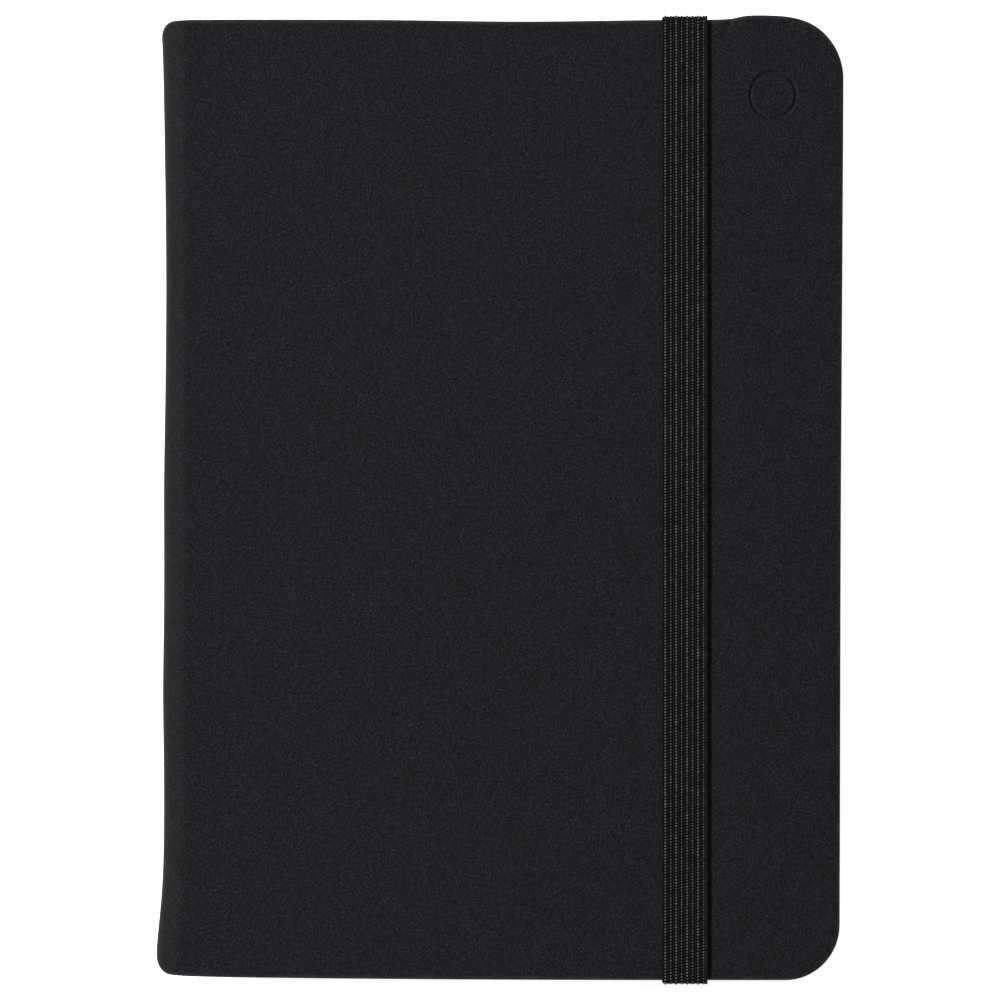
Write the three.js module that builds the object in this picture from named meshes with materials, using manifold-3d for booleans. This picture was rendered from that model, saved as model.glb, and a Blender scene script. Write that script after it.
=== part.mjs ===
// A soft-cover pocket notebook with an elastic closure, lying shut on its back cover.
// Millimetres. +X runs from the spine to the fore edge, +Y from tail to head, +Z up through the pages.
// The origin is the centre of the footprint, at the level that the notebook rests on.
//
// The case is a leather-look skin wrapped round two boards and a spine strip. The text block is a row of
// sewn signatures with a folded endpaper front and back. It opens at the middle of the block: the spine
// swings out on the back joint, the front cover folds on the front joint, and the front half of the block
// turns over about the middle of its spine.
import * as THREE from "three";
import { mergeVertices } from "three/addons/utils/BufferGeometryUtils.js";
import Module from "manifold-3d";

// ---- Driving dimensions ----

// Case
const COVER_WIDTH = 105; // spine's outer face to fore edge
const COVER_HEIGHT = 148.8; // head to tail
const CORNER_RADIUS = 9.5; // the two fore-edge corners, seen from above
const SPINE_RADIUS = 4; // the long rounded edges of the spine
const SKIN_THICKNESS = 0.6;
const BOARD_THICKNESS = 0.7;
const STRIP_THICKNESS = 0.4; // card strip inside the spine
const STRIP_MARGIN = 2.5; // strip's ends, short of head and tail
const JOINT_WIDTH = 6; // spine's outer face to the edge of each board
const TURN_IN = 3.6; // skin left showing round the pastedown
const HINGE_GAP = 0.2; // between the skins where the case folds

// Text block
const SIGNATURES = 6;
const SHEETS_PER_SIGNATURE = 8; // each folded once, so it makes two leaves
const SHEET_THICKNESS = 0.09;
const ENDPAPER_THICKNESS = 0.15;
const SQUARE = 2.2; // cover's overhang past the pages
const LEAF_GAP = 0.1; // air between signatures and leaves
const LINING_THICKNESS = 0.2; // cloth glued over the folds
const LINING_MARGIN = 9; // cloth's ends, short of head and tail
const HOLLOW = 0.3; // between the cloth and the spine strip

// Sewing
const THREAD_WIDTH = 0.3;
const THREAD_DEPTH = 1.3; // from the fold's outside to the thread
const THREAD_CLEARANCE = 0.1;
const STATIONS = 4;
const STATION_SPACING = 36;

// Elastic band
const BAND_WIDTH = 7;
const BAND_THICKNESS = 0.65;
const BAND_FROM_SPINE = 80.7; // spine's outer face to the band's middle
const BAND_CLEARANCE = 0.05;
const BAND_CORNER = 1; // outer radius where the band turns an edge
const SLOT_FROM_EDGE = 15; // slot in the back cover, from head or tail
const SLOT_CLEARANCE = 0.3;
const TAB_LENGTH = 14; // end of the band, glued inside the back cover
const STRAP_GAP = 0.3; // between the moving strap and the fixed ends

const GLUE = 0.05; // film between pieces that are stuck together
const CORNER_STEPS = 8;
const EDGE_STEPS = 3;
const LEAST_RADIUS = 0.5;

// ---- Levels and places worked out from them ----

const signatureThickness = 2 * SHEETS_PER_SIGNATURE * SHEET_THICKNESS;
const signaturePitch = signatureThickness + LEAF_GAP;
const boardThickness = Math.max(BOARD_THICKNESS, BAND_THICKNESS); // the band's ends are let into the board
const panelThickness = SKIN_THICKNESS + GLUE + boardThickness + GLUE + ENDPAPER_THICKNESS;
const edgeWrap = SKIN_THICKNESS + GLUE; // skin round the edge of a board

const backOutside = BAND_THICKNESS + BAND_CLEARANCE;
const backInside = backOutside + panelThickness;
const backLeafLevel = backInside + LEAF_GAP;
const blockBottom = backLeafLevel + ENDPAPER_THICKNESS + LEAF_GAP;
const blockTop = blockBottom + SIGNATURES * signaturePitch - LEAF_GAP;
const halfBlock = (blockTop - blockBottom - LEAF_GAP) / 2;
const frontLeafLevel = blockTop + LEAF_GAP;
const frontInside = frontLeafLevel + ENDPAPER_THICKNESS + LEAF_GAP;
const frontOutside = frontInside + panelThickness;
const caseThickness = frontOutside - backOutside;
const strapBottom = frontOutside + BAND_CLEARANCE;
const strapTop = strapBottom + BAND_THICKNESS;

const spineX = -COVER_WIDTH / 2;
const boardX = spineX + JOINT_WIDTH;
const stripX = spineX + SKIN_THICKNESS + GLUE;
const halfSplit = HINGE_GAP / 2 / SPINE_RADIUS; // half of the angle between skins, halfway round a fold
// How far from the spine's outer face a fold has come down to the level of the cover's inside.
const foldInside = SPINE_RADIUS - SKIN_THICKNESS;
const foldReach = SPINE_RADIUS - Math.sqrt(foldInside ** 2 - (SPINE_RADIUS - panelThickness) ** 2);
const liningX = Math.max(stripX + STRIP_THICKNESS + HOLLOW, spineX + foldReach - LINING_THICKNESS);
const blockX = liningX + LINING_THICKNESS + GLUE;
const pageHeight = COVER_HEIGHT - 2 * SQUARE;
const bandX = spineX + BAND_FROM_SPINE;
const bandEdgeY = COVER_HEIGHT / 2 + BAND_CLEARANCE; // band's inner face at head and tail
const slotY = COVER_HEIGHT / 2 - SLOT_FROM_EDGE;
const legTop = BAND_CORNER + STRAP_GAP; // a fixed end stops just past its turn up the edge

// ---- Materials ----

const material = (color, roughness) => new THREE.MeshStandardMaterial({ color, roughness, metalness: 0 });
const leatherette = material(0x232326, 0.62);
const board = material(0x8f8676, 0.95);
const endpaper = material(0xece6d6, 0.9);
const page = material(0xf3efe3, 0.92);
const liningCloth = material(0xe2ded0, 0.95);
const thread = material(0xf0ecdf, 0.8);
const elastic = material(0x1c1d1e, 0.8);

// ---- Solids ----

const wasm = await Module();
wasm.setup();

function solidOf(geometry) {
  const bare = geometry.clone();
  bare.deleteAttribute("normal");
  bare.deleteAttribute("uv");
  const merged = mergeVertices(bare, 1e-4);
  const triVerts = new Uint32Array(merged.index.array);
  const vertProperties = merged.attributes.position.array;
  return new wasm.Manifold(new wasm.Mesh({ numProp: 3, vertProperties, triVerts }));
}

function geometryOf(solid) {
  const { numProp, numVert, vertProperties, triVerts } = solid.getMesh();
  const positions = new Float32Array(numVert * 3);
  for (let i = 0; i < numVert; i++) {
    positions.set(vertProperties.subarray(i * numProp, i * numProp + 3), i * 3);
  }
  const geometry = new THREE.BufferGeometry();
  geometry.setAttribute("position", new THREE.BufferAttribute(positions, 3));
  geometry.setIndex(new THREE.BufferAttribute(triVerts, 1));
  geometry.computeVertexNormals();
  return geometry;
}

// A box given by its lowest and highest corners.
function boxBetween(low, high) {
  const size = high.map((value, axis) => value - low[axis]);
  const middle = high.map((value, axis) => (value + low[axis]) / 2);
  return new THREE.BoxGeometry(...size).translate(...middle);
}

// A plan outline: straight at the spine side, rounded at the two fore-edge corners.
function outline(left, inset) {
  const fore = COVER_WIDTH / 2 - inset;
  const head = COVER_HEIGHT / 2 - inset;
  const radius = Math.max(CORNER_RADIUS - inset, LEAST_RADIUS);
  const shape = new THREE.Shape();
  shape.moveTo(left, -head);
  shape.lineTo(fore - radius, -head);
  shape.absarc(fore - radius, radius - head, radius, -Math.PI / 2, 0);
  shape.absarc(fore - radius, head - radius, radius, 0, Math.PI / 2);
  shape.lineTo(left, head);
  return shape;
}

function slab(shape, thickness) {
  const options = { depth: thickness, bevelEnabled: false, curveSegments: CORNER_STEPS };
  return new THREE.ExtrudeGeometry(shape, options);
}

// A slab with half-round edges, its outer face at z = 0.
function roundedSlab(shape, thickness) {
  const radius = thickness / 2 - GLUE / 2;
  const geometry = new THREE.ExtrudeGeometry(shape, {
    depth: thickness - 2 * radius,
    bevelThickness: radius,
    bevelSize: radius,
    bevelOffset: -radius,
    bevelSegments: EDGE_STEPS,
    curveSegments: CORNER_STEPS,
  });
  return geometry.translate(0, 0, radius);
}

// A profile drawn in X and Z, drawn out along Y to that length, centred on y = 0.
function alongY(shape, length) {
  const options = { depth: length, bevelEnabled: false, curveSegments: CORNER_STEPS };
  return new THREE.ExtrudeGeometry(shape, options).rotateX(Math.PI / 2).translate(0, length / 2, 0);
}

// ---- Case ----

// The skin of one cover, outer face at z = 0 and its inside up: a tray with half-round edges that wraps the
// board, a thin turned-in lip round the pastedown, and half of the rounded spine edge.
function coverSkin() {
  const far = COVER_WIDTH;
  const boardTop = panelThickness - ENDPAPER_THICKNESS;
  const joint = spineX + SPINE_RADIUS;
  const tray = solidOf(roundedSlab(outline(spineX - panelThickness, 0), panelThickness));
  const boardRoom = solidOf(slab(outline(-far, edgeWrap), boardTop - SKIN_THICKNESS));
  const window = solidOf(slab(outline(-far, TURN_IN), panelThickness));
  const beyond = boxBetween([-far, -COVER_HEIGHT, -far], [joint, COVER_HEIGHT, far]);
  const flat = tray
    .subtract(boardRoom.translate([0, 0, SKIN_THICKNESS]))
    .subtract(window.translate([0, 0, SKIN_THICKNESS]))
    .subtract(solidOf(beyond));

  const overlap = SKIN_THICKNESS; // the rounded part runs this far into the flat, to join it
  const split = 1.25 * Math.PI + halfSplit;
  const curl = new THREE.Shape();
  curl.moveTo(joint + overlap, 0);
  curl.lineTo(joint, 0);
  curl.absarc(joint, SPINE_RADIUS, SPINE_RADIUS, 1.5 * Math.PI, split, true);
  curl.absarc(joint, SPINE_RADIUS, foldInside, split, 1.5 * Math.PI, false);
  curl.lineTo(joint + overlap, SKIN_THICKNESS);
  const height = COVER_HEIGHT - 2 * edgeWrap;
  return flat.add(solidOf(alongY(curl, height)));
}

// A slot through the skin for each end of the band.
function bandSlots() {
  const halfWidth = BAND_WIDTH / 2 + SLOT_CLEARANCE;
  const halfLength = BAND_THICKNESS / 2 + SLOT_CLEARANCE;
  const slot = new THREE.BoxGeometry(2 * halfWidth, 2 * halfLength, 2 * panelThickness);
  return [slotY, -slotY].map((y) => solidOf(slot).translate([bandX, y, 0]));
}

function frontCoverSkin() {
  const mesh = new THREE.Mesh(geometryOf(coverSkin()), leatherette);
  mesh.rotation.x = Math.PI; // its outer face up
  mesh.position.z = frontOutside;
  return mesh;
}

function backCoverSkin() {
  const slotted = bandSlots().reduce((skin, slot) => skin.subtract(slot), coverSkin());
  const mesh = new THREE.Mesh(geometryOf(slotted), leatherette);
  mesh.position.z = backOutside;
  return mesh;
}

// The skin over the spine, between the two folds, with its inner face towards the pages.
function spineSkin() {
  const middle = spineX + SPINE_RADIUS;
  const low = SPINE_RADIUS;
  const high = caseThickness - SPINE_RADIUS;
  const lowEnd = 1.25 * Math.PI - halfSplit;
  const highEnd = 0.75 * Math.PI + halfSplit;
  const profile = new THREE.Shape();
  profile.absarc(middle, low, SPINE_RADIUS, lowEnd, Math.PI, true);
  profile.absarc(middle, high, SPINE_RADIUS, Math.PI, highEnd, true);
  profile.absarc(middle, high, foldInside, highEnd, Math.PI, false);
  profile.absarc(middle, low, foldInside, Math.PI, lowEnd, false);
  const mesh = new THREE.Mesh(alongY(profile, COVER_HEIGHT - 2 * edgeWrap), leatherette);
  mesh.position.z = backOutside;
  return mesh;
}

function spineStrip() {
  const height = COVER_HEIGHT - 2 * STRIP_MARGIN;
  const span = caseThickness - 2 * SPINE_RADIUS;
  const mesh = new THREE.Mesh(new THREE.BoxGeometry(STRIP_THICKNESS, height, span), board);
  mesh.position.set(stripX + STRIP_THICKNESS / 2, 0, backOutside + caseThickness / 2);
  return mesh;
}

function coverBoard() {
  return solidOf(slab(outline(boardX, edgeWrap + GLUE), boardThickness));
}

function frontBoard() {
  const mesh = new THREE.Mesh(geometryOf(coverBoard()), board);
  mesh.position.z = frontOutside - SKIN_THICKNESS - GLUE - boardThickness;
  return mesh;
}

// The back board has a window at each slot, where the end of the band lies against the skin.
function backBoard() {
  const halfWidth = BAND_WIDTH / 2 + SLOT_CLEARANCE;
  const outer = slotY + BAND_THICKNESS / 2 + SLOT_CLEARANCE;
  const inner = slotY - TAB_LENGTH - SLOT_CLEARANCE;
  const window = (from, to) =>
    solidOf(boxBetween([bandX - halfWidth, from, -panelThickness], [bandX + halfWidth, to, panelThickness]));
  const cut = coverBoard().subtract(window(inner, outer)).subtract(window(-outer, -inner));
  const mesh = new THREE.Mesh(geometryOf(cut), board);
  mesh.position.z = backOutside + SKIN_THICKNESS + GLUE;
  return mesh;
}

function pastedown(level) {
  const mesh = new THREE.Mesh(slab(outline(boardX, TURN_IN + GLUE), ENDPAPER_THICKNESS), endpaper);
  mesh.position.z = level;
  return mesh;
}

// ---- Text block ----

function flyleaf(level) {
  const mesh = new THREE.Mesh(slab(outline(blockX, SQUARE), ENDPAPER_THICKNESS), endpaper);
  mesh.position.z = level;
  return mesh;
}

// The run of thread inside a signature's middle fold, with a stitch out through the fold at each station.
// grow widens it all round, for the room that it needs.
function threadRun(grow) {
  const half = THREAD_WIDTH / 2 + grow;
  const low = signatureThickness / 2 - half;
  const high = signatureThickness / 2 + half;
  const reach = ((STATIONS - 1) / 2) * STATION_SPACING;
  const x = blockX + THREAD_DEPTH;
  let run = solidOf(boxBetween([x - half, -reach - half, low], [x + half, reach + half, high]));
  for (let i = 0; i < STATIONS; i++) {
    const y = i * STATION_SPACING - reach;
    run = run.add(solidOf(boxBetween([blockX - grow, y - half, low], [x, y + half, high])));
  }
  return run;
}

// One gathering of folded sheets, its fold rounded, lying from z = 0.
function signature() {
  const radius = signatureThickness / 2;
  const section = new THREE.Shape();
  section.moveTo(COVER_WIDTH, 0);
  section.lineTo(COVER_WIDTH, signatureThickness);
  section.absarc(blockX + radius, radius, radius, Math.PI / 2, 1.5 * Math.PI, false);
  const leaves = solidOf(slab(outline(blockX, SQUARE), signatureThickness));
  const folded = leaves.intersect(solidOf(alongY(section, COVER_HEIGHT)));
  return folded.subtract(threadRun(THREAD_CLEARANCE));
}

// Half of the cloth, which folds where the block opens, at half its thickness.
function liningHalf(level) {
  const height = pageHeight - 2 * LINING_MARGIN;
  const mesh = new THREE.Mesh(new THREE.BoxGeometry(LINING_THICKNESS, height, halfBlock), liningCloth);
  mesh.position.set(liningX + LINING_THICKNESS / 2, 0, level + halfBlock / 2);
  return mesh;
}

// ---- Elastic band ----

// A ribbon as thick as the band, along a path of [y, z] points down its middle, as wide as the band.
function ribbon(points) {
  const half = BAND_THICKNESS / 2;
  const round = BAND_CORNER - half;
  const path = new THREE.Path();
  path.moveTo(...points[0]);
  points.slice(1, -1).forEach((corner, i) => {
    const here = new THREE.Vector2(...corner);
    const before = new THREE.Vector2(...points[i]).sub(here).normalize();
    const after = new THREE.Vector2(...points[i + 2]).sub(here).normalize();
    const enter = here.clone().addScaledVector(before, round);
    const leave = here.clone().addScaledVector(after, round);
    path.lineTo(enter.x, enter.y);
    path.quadraticCurveTo(here.x, here.y, leave.x, leave.y);
  });
  path.lineTo(...points.at(-1));
  const middle = path.getPoints(EDGE_STEPS + 1);
  const side = (sign) =>
    middle.map((point, i) => {
      const next = middle[Math.min(i + 1, middle.length - 1)];
      const last = middle[Math.max(i - 1, 0)];
      const along = next.clone().sub(last).normalize();
      return new THREE.Vector2(point.x - sign * along.y * half, point.y + sign * along.x * half);
    });
  const section = new THREE.Shape([...side(-1), ...side(1).reverse()]);
  // Extruded along Z, then turned so that the section's x and y become the part's y and z.
  const geometry = new THREE.ExtrudeGeometry(section, { depth: BAND_WIDTH, bevelEnabled: false });
  geometry.rotateY(Math.PI / 2).rotateX(Math.PI / 2);
  return geometry.translate(-BAND_WIDTH / 2, 0, 0);
}

// The part that is pulled off: across the front cover and down past both edges.
function bandStrap() {
  const side = bandEdgeY + BAND_THICKNESS / 2;
  const level = strapTop - BAND_THICKNESS / 2;
  const end = legTop + STRAP_GAP;
  const mesh = new THREE.Mesh(ribbon([[-side, end], [-side, level], [side, level], [side, end]]), elastic);
  mesh.position.x = bandX;
  return mesh;
}

// A fixed end: from the edge, in along the back cover, up through its slot, and on inside it.
function bandLeg(sign) {
  const half = BAND_THICKNESS / 2;
  const side = bandEdgeY + half;
  const inside = backOutside + SKIN_THICKNESS + GLUE + half;
  const outsideRun = [[side, legTop], [side, half], [slotY, half]];
  const insideRun = [[slotY, inside], [slotY - TAB_LENGTH, inside]];
  const path = [...outsideRun, ...insideRun].map(([y, z]) => [sign * y, z]);
  const mesh = new THREE.Mesh(ribbon(sign > 0 ? path : path.reverse()), elastic);
  mesh.position.x = bandX;
  return mesh;
}

// ---- The notebook ----

const notebook = new THREE.Group();

function add(name, mesh) {
  mesh.name = name;
  notebook.add(mesh);
}

add("front_cover_skin", frontCoverSkin());
add("front_board", frontBoard());
add("front_pastedown", pastedown(frontInside));
add("spine_skin", spineSkin());
add("spine_strip", spineStrip());
add("back_cover_skin", backCoverSkin());
add("back_board", backBoard());
add("back_pastedown", pastedown(backInside - ENDPAPER_THICKNESS));
add("front_flyleaf", flyleaf(frontLeafLevel));
add("back_flyleaf", flyleaf(backLeafLevel));
add("spine_lining_front", liningHalf(blockTop - halfBlock));
add("spine_lining_back", liningHalf(blockBottom));

const signatureGeometry = geometryOf(signature());
const threadGeometry = geometryOf(threadRun(0));
for (let i = 1; i <= SIGNATURES; i++) {
  const place = new THREE.Group(); // a signature and its thread, counted from the front
  place.position.z = blockTop - signatureThickness - (i - 1) * signaturePitch;
  notebook.add(place);
  const leaves = new THREE.Mesh(signatureGeometry, page);
  leaves.name = `signature_${i}`;
  const sewing = new THREE.Mesh(threadGeometry, thread);
  sewing.name = `sewing_thread_${i}`;
  place.add(leaves, sewing);
}

add("band_strap", bandStrap());
add("band_head_leg", bandLeg(1));
add("band_tail_leg", bandLeg(-1));

export default notebook;
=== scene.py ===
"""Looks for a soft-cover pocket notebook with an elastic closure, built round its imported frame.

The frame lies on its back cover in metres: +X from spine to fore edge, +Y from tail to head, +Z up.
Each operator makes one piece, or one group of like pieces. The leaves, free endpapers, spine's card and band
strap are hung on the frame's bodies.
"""

import math
import random

import bpy
import numpy as np
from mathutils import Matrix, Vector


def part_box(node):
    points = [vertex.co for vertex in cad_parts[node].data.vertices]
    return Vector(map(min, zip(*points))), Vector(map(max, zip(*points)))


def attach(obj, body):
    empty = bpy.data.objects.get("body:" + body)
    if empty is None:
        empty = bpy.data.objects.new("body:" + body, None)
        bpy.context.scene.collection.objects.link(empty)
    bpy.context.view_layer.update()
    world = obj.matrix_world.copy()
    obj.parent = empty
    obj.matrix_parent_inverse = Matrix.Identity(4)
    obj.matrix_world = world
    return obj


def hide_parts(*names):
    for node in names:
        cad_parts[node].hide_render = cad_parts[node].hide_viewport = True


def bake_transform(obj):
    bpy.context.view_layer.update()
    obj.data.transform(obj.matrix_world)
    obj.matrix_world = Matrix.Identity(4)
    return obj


bl_info = {
    "name": "Pocket Notebook",
    "version": (1, 0, 0),
    "blender": (4, 5, 0),
    "location": "View3D > Sidebar > Notebook",
    "description": "Cover, leaves and elastic band of a pocket notebook, round its frame",
    "category": "Object",
}

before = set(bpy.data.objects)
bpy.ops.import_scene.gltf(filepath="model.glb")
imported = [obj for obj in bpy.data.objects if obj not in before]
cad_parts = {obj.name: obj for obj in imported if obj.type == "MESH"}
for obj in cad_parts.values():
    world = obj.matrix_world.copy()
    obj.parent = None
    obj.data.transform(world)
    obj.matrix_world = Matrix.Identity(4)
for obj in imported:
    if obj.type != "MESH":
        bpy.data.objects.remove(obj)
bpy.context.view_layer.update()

MM = 0.001
SEED = 11

# ---- Places read from the frame ----

BAND_CLEARANCE = 0.05 * MM
TAB_LENGTH = 14 * MM  # the band's hidden end, inside the back cover

FRONT_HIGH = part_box("front_cover_skin")[1]
BACK_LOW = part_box("back_cover_skin")[0]
SPINE_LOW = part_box("spine_skin")[0]
STRIP_LOW, STRIP_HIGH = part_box("spine_strip")
BOARD_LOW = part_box("front_board")[0]
PASTE_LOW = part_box("front_pastedown")[0]
STRAP_LOW, STRAP_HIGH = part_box("band_strap")
LEG_LOW, LEG_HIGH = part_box("band_head_leg")

SPINE_X = SPINE_LOW.x
FORE_X = FRONT_HIGH.x
HALF_HEIGHT = FRONT_HIGH.y
MIDDLE_Z = (FRONT_HIGH.z + BACK_LOW.z) / 2
HALF_CASE = (FRONT_HIGH.z - BACK_LOW.z) / 2
FOLD_RADIUS = STRIP_LOW.z - BACK_LOW.z  # the strip starts where the fold ends
PANEL = FRONT_HIGH.z - PASTE_LOW.z  # skin, board and endpaper together
BAND_X = (STRAP_LOW.x + STRAP_HIGH.x) / 2
BAND_WIDTH = STRAP_HIGH.x - STRAP_LOW.x
BAND_THICKNESS = STRAP_HIGH.z - FRONT_HIGH.z - BAND_CLEARANCE
SLOT_Y = LEG_LOW.y + TAB_LENGTH


# ---- Sizes and colours a user would change ----


class NotebookCoverSizes(bpy.types.PropertyGroup):
    """The leather-look cover skin."""

    colour: bpy.props.FloatVectorProperty(
        name="Colour", description="Colour of the cover's skin", subtype="COLOR", size=3,
        default=(0.0242, 0.0248, 0.0297), min=0, max=1,
    )
    head_corner: bpy.props.FloatProperty(
        name="Head Corner", description="Radius of the fore-edge corner at the head", unit="LENGTH",
        default=9.5 * MM,
    )
    tail_corner: bpy.props.FloatProperty(
        name="Tail Corner", description="Radius of the fore-edge corner at the tail", unit="LENGTH",
        default=8.5 * MM,
    )
    skin: bpy.props.FloatProperty(
        name="Skin", description="Thickness of the skin", unit="LENGTH", default=0.4 * MM,
    )
    turn_in: bpy.props.FloatProperty(
        name="Turn-in", description="Width of the skin folded over inside", unit="LENGTH", default=3.6 * MM,
    )
    ring_diameter: bpy.props.FloatProperty(
        name="Ring", description="Diameter of the pressed ring by the head corner", unit="LENGTH",
        default=7 * MM,
    )
    ring_depth: bpy.props.FloatProperty(
        name="Ring Depth", description="Depth of the pressed ring", unit="LENGTH", default=0.22 * MM,
    )


class NotebookPageSizes(bpy.types.PropertyGroup):
    """The sewn leaves and the endpapers."""

    colour: bpy.props.FloatVectorProperty(
        name="Paper", description="Colour of the leaves", subtype="COLOR", size=3,
        default=(0.72, 0.68, 0.575), min=0, max=1,
    )
    endpaper: bpy.props.FloatVectorProperty(
        name="Endpaper", description="Colour of the endpapers", subtype="COLOR", size=3,
        default=(0.68, 0.635, 0.52), min=0, max=1,
    )
    sheets: bpy.props.IntProperty(
        name="Sheets", description="Folded sheets in each signature", default=8, min=1, max=12,
    )
    scatter: bpy.props.FloatProperty(
        name="Scatter", description="How unevenly the leaves end at their edges", unit="LENGTH",
        default=0.07 * MM,
    )


class NotebookBandSizes(bpy.types.PropertyGroup):
    """The knitted elastic band."""

    colour: bpy.props.FloatVectorProperty(
        name="Colour", description="Colour of the yarn", subtype="COLOR", size=3,
        default=(0.0135, 0.0135, 0.0135), min=0, max=1,
    )
    pitch: bpy.props.FloatProperty(
        name="Stitch Pitch", description="Length of one course of stitches", unit="LENGTH",
        default=0.46 * MM,
    )
    ribs: bpy.props.IntProperty(
        name="Ribs", description="Raised ribs along the band", default=8, min=2, max=16,
    )


class NotebookStageSizes(bpy.types.PropertyGroup):
    """Floor, lights and camera."""

    floor: bpy.props.FloatVectorProperty(
        name="Floor", description="Colour of the floor", subtype="COLOR", size=3,
        default=(0.85, 0.85, 0.85), min=0, max=1,
    )
    glow: bpy.props.FloatProperty(
        name="Glow", description="Light given off by the floor, as a light table's", default=0.95, min=0,
    )
    view_width: bpy.props.FloatProperty(
        name="View Width", description="Width that the camera sees at the front cover", unit="LENGTH",
        default=154.87 * MM,
    )
    camera_distance: bpy.props.FloatProperty(
        name="Camera Distance", description="Height of the camera over the front cover", unit="LENGTH",
        default=1.0,
    )


# ---- Materials ----


def add_node(tree, kind, inputs=None, **settings):
    """A new node in the tree. An input given as a socket is joined to it, any other is set."""
    node = tree.nodes.new(kind)
    for key, value in settings.items():
        setattr(node, key, value)
    for key, value in (inputs or {}).items():
        if isinstance(value, bpy.types.NodeSocket):
            tree.links.new(value, node.inputs[key])
        else:
            node.inputs[key].default_value = value
    return node


class Nodes:
    """A material's node tree, with short ways to add and join nodes."""

    def __init__(self, name, roughness):
        self.material = bpy.data.materials.new(name)
        self.material.use_nodes = True
        self.tree = self.material.node_tree
        self.shader = self.tree.nodes["Principled BSDF"]
        self.shader.inputs["Roughness"].default_value = roughness

    def add(self, kind, inputs=None, **settings):
        return add_node(self.tree, kind, inputs, **settings)

    def join(self, socket, name):
        self.tree.links.new(socket, self.shader.inputs[name])

    def attribute(self, name):
        return self.add("ShaderNodeAttribute", attribute_name=name)

    def noise(self, where, scale, detail=2.0, roughness=0.5):
        inputs = {"Vector": where, "Scale": scale, "Detail": detail, "Roughness": roughness}
        return self.add("ShaderNodeTexNoise", inputs).outputs["Fac"]

    def ramp(self, value, stops):
        node = self.add("ShaderNodeValToRGB", {"Fac": value})
        ramp = node.color_ramp
        while len(ramp.elements) < len(stops):
            ramp.elements.new(0.5)
        for element, (position, colour) in zip(ramp.elements, stops):
            element.position = position
            element.color = (*colour, 1) if isinstance(colour, tuple) else (colour, colour, colour, 1)
        return node.outputs["Color"]

    def mix(self, share, a, b, blend="MIX"):
        node = self.add("ShaderNodeMix", data_type="RGBA", blend_type=blend)
        for index, value in ((0, share), (6, a), (7, b)):
            if isinstance(value, bpy.types.NodeSocket):
                self.tree.links.new(value, node.inputs[index])
            else:
                node.inputs[index].default_value = value if index == 0 else (*value, 1)
        return node.outputs[2]

    def math(self, operation, *values):
        return self.add("ShaderNodeMath", dict(enumerate(values)), operation=operation).outputs[0]

    def bump(self, height, distance, strength=1.0, under=None):
        inputs = {"Height": height, "Distance": distance, "Strength": strength}
        if under is not None:
            inputs["Normal"] = under
        return self.add("ShaderNodeBump", inputs).outputs["Normal"]


def scaled(colour, factor):
    return tuple(channel * factor for channel in colour)


DUST = (0.16, 0.15, 0.14)
# colour of the painted highlight on the rim, which also stands for wear from rubbing
RIM_SHEEN_AND_WEAR = (0.065, 0.065, 0.068)
FOLD_SPAN = 20 * MM  # distance from the spine's middle that the painted fold shade's ramp counts as 1


def leather_material(colour):
    """Soft matte coated cloth: fine pebble grain, faint mottling and dust, a painted highlight in patches on
    the rim that also stands for wear from rubbing, and painted shade over the spine's fold.
    """
    n = Nodes("cover_skin", 0.72)
    flat = n.attribute("unrolled").outputs["Vector"]
    # how far each point lies round the rolled rim, where the painted highlight goes
    rim_share = n.attribute("edge").outputs["Fac"]

    # Grain: pebbles about 0.3 mm across, with finer pores between and over them.
    cells = {"Vector": flat, "Scale": 3600.0, "Randomness": 1.0}
    pebbles = n.add("ShaderNodeTexVoronoi", cells, feature="SMOOTH_F1").outputs["Distance"]
    pores = n.noise(flat, 4600.0, 2.0, 0.6)
    mottle = n.ramp(n.noise(flat, 240.0, 5.0, 0.65), [(0.32, 0.0), (0.7, 1.0)])
    tone = n.mix(mottle, scaled(colour, 0.91), scaled(colour, 1.12))
    tone = n.mix(n.ramp(pores, [(0.36, 0.95), (0.6, 0.0)]), tone, scaled(colour, 0.12))
    tone = n.mix(n.ramp(pebbles, [(0.15, 0.0), (0.55, 0.75)]), tone, scaled(colour, 0.2))

    # Painted shade: the skin's colour is darkened where it bends round the spine, where the light falls more
    # fully on the fold.
    unrolled = n.add("ShaderNodeSeparateXYZ", {0: flat}).outputs["X"]
    fold_shade = n.ramp(n.math("MULTIPLY", unrolled, 1 / FOLD_SPAN), [(0.3, 0.9), (0.47, 0.0)])
    tone = n.mix(fold_shade, tone, (0.55, 0.55, 0.55), "MULTIPLY")

    # Its rim is lightened in patches: a painted highlight that also stands for wear from rubbing. A few
    # specks of dust lie on it.
    patches = n.ramp(n.noise(flat, 700.0, 4.0, 0.7), [(0.35, 0.1), (0.7, 1.0)])
    rim_sheen_and_wear = n.math("MULTIPLY", rim_share, patches)
    tone = n.mix(n.math("MULTIPLY", rim_sheen_and_wear, 0.85), tone, RIM_SHEEN_AND_WEAR)
    specks = n.add("ShaderNodeTexVoronoi", {"Vector": flat, "Scale": 420.0, "Randomness": 1.0})
    few = n.math("GREATER_THAN", n.noise(flat, 130.0, 1.0), 0.64)
    dust = n.math("MULTIPLY", n.math("LESS_THAN", specks.outputs["Distance"], 0.035), few)
    n.join(n.mix(n.math("MULTIPLY", dust, 0.35), tone, DUST), "Base Color")

    n.join(n.math("MULTIPLY_ADD", n.noise(flat, 500.0, 3.0, 0.6), 0.16, 0.6), "Roughness")
    n.shader.inputs["Specular IOR Level"].default_value = 0.07
    grain = n.bump(pebbles, 0.06 * MM, 0.9)
    grain = n.bump(pores, 0.045 * MM, 0.8, grain)
    n.join(n.bump(n.noise(flat, 90.0, 3.0, 0.55), 0.05 * MM, 0.5, grain), "Normal")
    return n.material


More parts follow.
